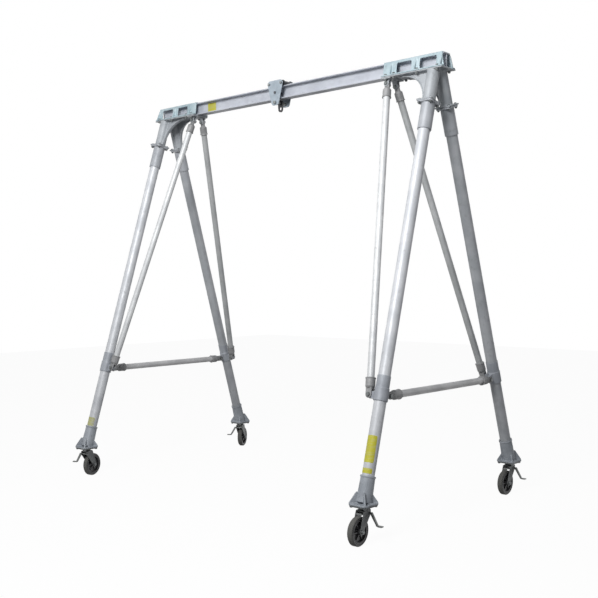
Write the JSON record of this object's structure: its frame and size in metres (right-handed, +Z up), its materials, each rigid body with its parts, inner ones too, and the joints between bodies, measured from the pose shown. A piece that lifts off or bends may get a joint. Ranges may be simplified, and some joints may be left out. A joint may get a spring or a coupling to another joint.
{
  "type": "portable gantry crane",
  "caption": "Portable gantry crane: an I-beam on two splayed A-frames with braces, braked swivel casters and a travelling trolley with a lifting eye.",
  "frame": {"origin": "on the floor, under the middle of the crane's outline", "axes": "+X along the beam towards the right-hand A-frame, +Y across the beam towards the rear, +Z up"},
  "size_m": [3.1665, 2.0514, 3.182],
  "materials": {
    "beam_aluminium": "mill-finish extruded aluminium, satin",
    "tube_aluminium": "satin drawn tube",
    "cast_aluminium": "sand-cast, blasted matte",
    "cap_casting": "sand-cast, slightly bluish",
    "zinc_fasteners": "zinc plated, dull",
    "caster_steel": "zinc plated pressed steel",
    "wheel_iron": "black painted casting",
    "wheel_rubber": "moulded black rubber",
    "pedal_steel": "zinc plated strip",
    "trolley_zinc": "bluish zinc plated plate",
    "roller_steel": "turned steel, dark",
    "eye_steel": "dark forged steel"
  },
  "bodies": {
    "frame": {"beam": "beam_aluminium", "beam_cap_right": "cap_casting", "beam_cap_left": "cap_casting", "leg_head_right": "cast_aluminium", "leg_head_left": "cast_aluminium", "brace_bracket_right": "cast_aluminium", "brace_bracket_left": "cast_aluminium", "leg_tube_right_front": "tube_aluminium", "leg_tube_right_rear": "tube_aluminium", "leg_tube_left_front": "tube_aluminium", "leg_tube_left_rear": "tube_aluminium", "leg_sleeve_right_front": "cast_aluminium", "leg_sleeve_right_rear": "cast_aluminium", "leg_sleeve_left_front": "cast_aluminium", "leg_sleeve_left_rear": "cast_aluminium", "leg_collars_right": "cast_aluminium", "leg_collars_left": "cast_aluminium", "foot_socket_right_front": "cast_aluminium", "foot_socket_right_rear": "cast_aluminium", "foot_socket_left_front": "cast_aluminium", "foot_socket_left_rear": "cast_aluminium", "brace_tube_right_front": "tube_aluminium", "brace_tube_right_rear": "tube_aluminium", "brace_tube_left_front": "tube_aluminium", "brace_tube_left_rear": "tube_aluminium", "cross_tube_right": "tube_aluminium", "cross_tube_left": "tube_aluminium", "fork_ends": "cast_aluminium", "eye_ends": "cast_aluminium", "rod_pins": "zinc_fasteners", "head_bolts": "zinc_fasteners", "flange_bolts": "zinc_fasteners", "foot_bolts": "zinc_fasteners", "caster_plates": "caster_steel"},
    "swivel_right_front": {"caster_fork_right_front": "caster_steel", "caster_axle_right_front": "zinc_fasteners"},
    "wheel_right_front": {"wheel_core_right_front": "wheel_iron", "tyre_right_front": "wheel_rubber"},
    "pedal_right_front": {"brake_pedal_right_front": "pedal_steel"},
    "swivel_right_rear": {"caster_fork_right_rear": "caster_steel", "caster_axle_right_rear": "zinc_fasteners"},
    "wheel_right_rear": {"wheel_core_right_rear": "wheel_iron", "tyre_right_rear": "wheel_rubber"},
    "pedal_right_rear": {"brake_pedal_right_rear": "pedal_steel"},
    "swivel_left_front": {"caster_fork_left_front": "caster_steel", "caster_axle_left_front": "zinc_fasteners"},
    "wheel_left_front": {"wheel_core_left_front": "wheel_iron", "tyre_left_front": "wheel_rubber"},
    "pedal_left_front": {"brake_pedal_left_front": "pedal_steel"},
    "swivel_left_rear": {"caster_fork_left_rear": "caster_steel", "caster_axle_left_rear": "zinc_fasteners"},
    "wheel_left_rear": {"wheel_core_left_rear": "wheel_iron", "tyre_left_rear": "wheel_rubber"},
    "pedal_left_rear": {"brake_pedal_left_rear": "pedal_steel"},
    "trolley": {"trolley_side_plates": "trolley_zinc", "trolley_bolts": "zinc_fasteners", "side_guides": "roller_steel"},
    "roller_left": {"trolley_roller_left": "roller_steel"},
    "roller_right": {"trolley_roller_right": "roller_steel"},
    "lifting_eye": {"lifting_eye": "eye_steel"}
  },
  "joints": [
    {"name": "caster_swivel_right_front", "type": "hinge", "parent": "frame", "child": "swivel_right_front", "pos_m": [1.465, -0.879, 0.21], "axis": [0, 0, 1], "continuous": true},
    {"name": "wheel_spin_right_front", "type": "hinge", "parent": "swivel_right_front", "child": "wheel_right_front", "pos_m": [1.46932, -0.94085, 0.09], "axis": [0.9976, 0.0698, 0], "continuous": true},
    {"name": "brake_press_right_front", "type": "hinge", "parent": "swivel_right_front", "child": "pedal_right_front", "pos_m": [1.46333, -0.85506, 0.19], "axis": [0.9976, 0.0698, 0], "range_deg": [0, 6]},
    {"name": "caster_swivel_right_rear", "type": "hinge", "parent": "frame", "child": "swivel_right_rear", "pos_m": [1.465, 0.879, 0.21], "axis": [0, 0, 1], "continuous": true},
    {"name": "wheel_spin_right_rear", "type": "hinge", "parent": "swivel_right_rear", "child": "wheel_right_rear", "pos_m": [1.46716, 0.81704, 0.09], "axis": [0.9994, 0.0349, 0], "continuous": true},
    {"name": "brake_press_right_rear", "type": "hinge", "parent": "swivel_right_rear", "child": "pedal_right_rear", "pos_m": [1.46416, 0.90299, 0.19], "axis": [0.9994, 0.0349, 0], "range_deg": [0, 6]},
    {"name": "caster_swivel_left_front", "type": "hinge", "parent": "frame", "child": "swivel_left_front", "pos_m": [-1.465, -0.879, 0.21], "axis": [0, 0, 1], "continuous": true},
    {"name": "wheel_spin_left_front", "type": "hinge", "parent": "swivel_left_front", "child": "wheel_left_front", "pos_m": [-1.48105, -0.81911, 0.09], "axis": [-0.9659, -0.2588, 0], "continuous": true},
    {"name": "brake_press_left_front", "type": "hinge", "parent": "swivel_left_front", "child": "pedal_left_front", "pos_m": [-1.45879, -0.90218, 0.19], "axis": [-0.9659, -0.2588, 0], "range_deg": [0, 6]},
    {"name": "caster_swivel_left_rear", "type": "hinge", "parent": "frame", "child": "swivel_left_rear", "pos_m": [-1.465, 0.879, 0.21], "axis": [0, 0, 1], "continuous": true},
    {"name": "wheel_spin_left_rear", "type": "hinge", "parent": "swivel_left_rear", "child": "wheel_left_rear", "pos_m": [-1.49411, 0.93374, 0.09], "axis": [-0.8829, -0.4695, 0], "continuous": true},
    {"name": "brake_press_left_rear", "type": "hinge", "parent": "swivel_left_rear", "child": "pedal_left_rear", "pos_m": [-1.45373, 0.85781, 0.19], "axis": [-0.8829, -0.4695, 0], "range_deg": [0, 6]},
    {"name": "trolley_travel", "type": "slide", "parent": "frame", "child": "trolley", "axis": [1, 0, 0], "range_m": [-0.86, 0.96]},
    {"name": "roller_spin_left", "type": "hinge", "parent": "trolley", "child": "roller_left", "pos_m": [-0.114, 0, 3.1573], "axis": [0, 1, 0], "continuous": true},
    {"name": "roller_spin_right", "type": "hinge", "parent": "trolley", "child": "roller_right", "pos_m": [0.014, 0, 3.1573], "axis": [0, 1, 0], "continuous": true},
    {"name": "eye_swing", "type": "hinge", "parent": "trolley", "child": "lifting_eye", "pos_m": [-0.05, 0, 3.01], "axis": [0, 1, 0], "range_deg": [-60, 60]}
  ],
  "couplings": [
    {"joint": "roller_spin_left", "follows": "trolley_travel", "rad_per_m": 58.824},
    {"joint": "roller_spin_right", "follows": "trolley_travel", "rad_per_m": 58.824}
  ]
}
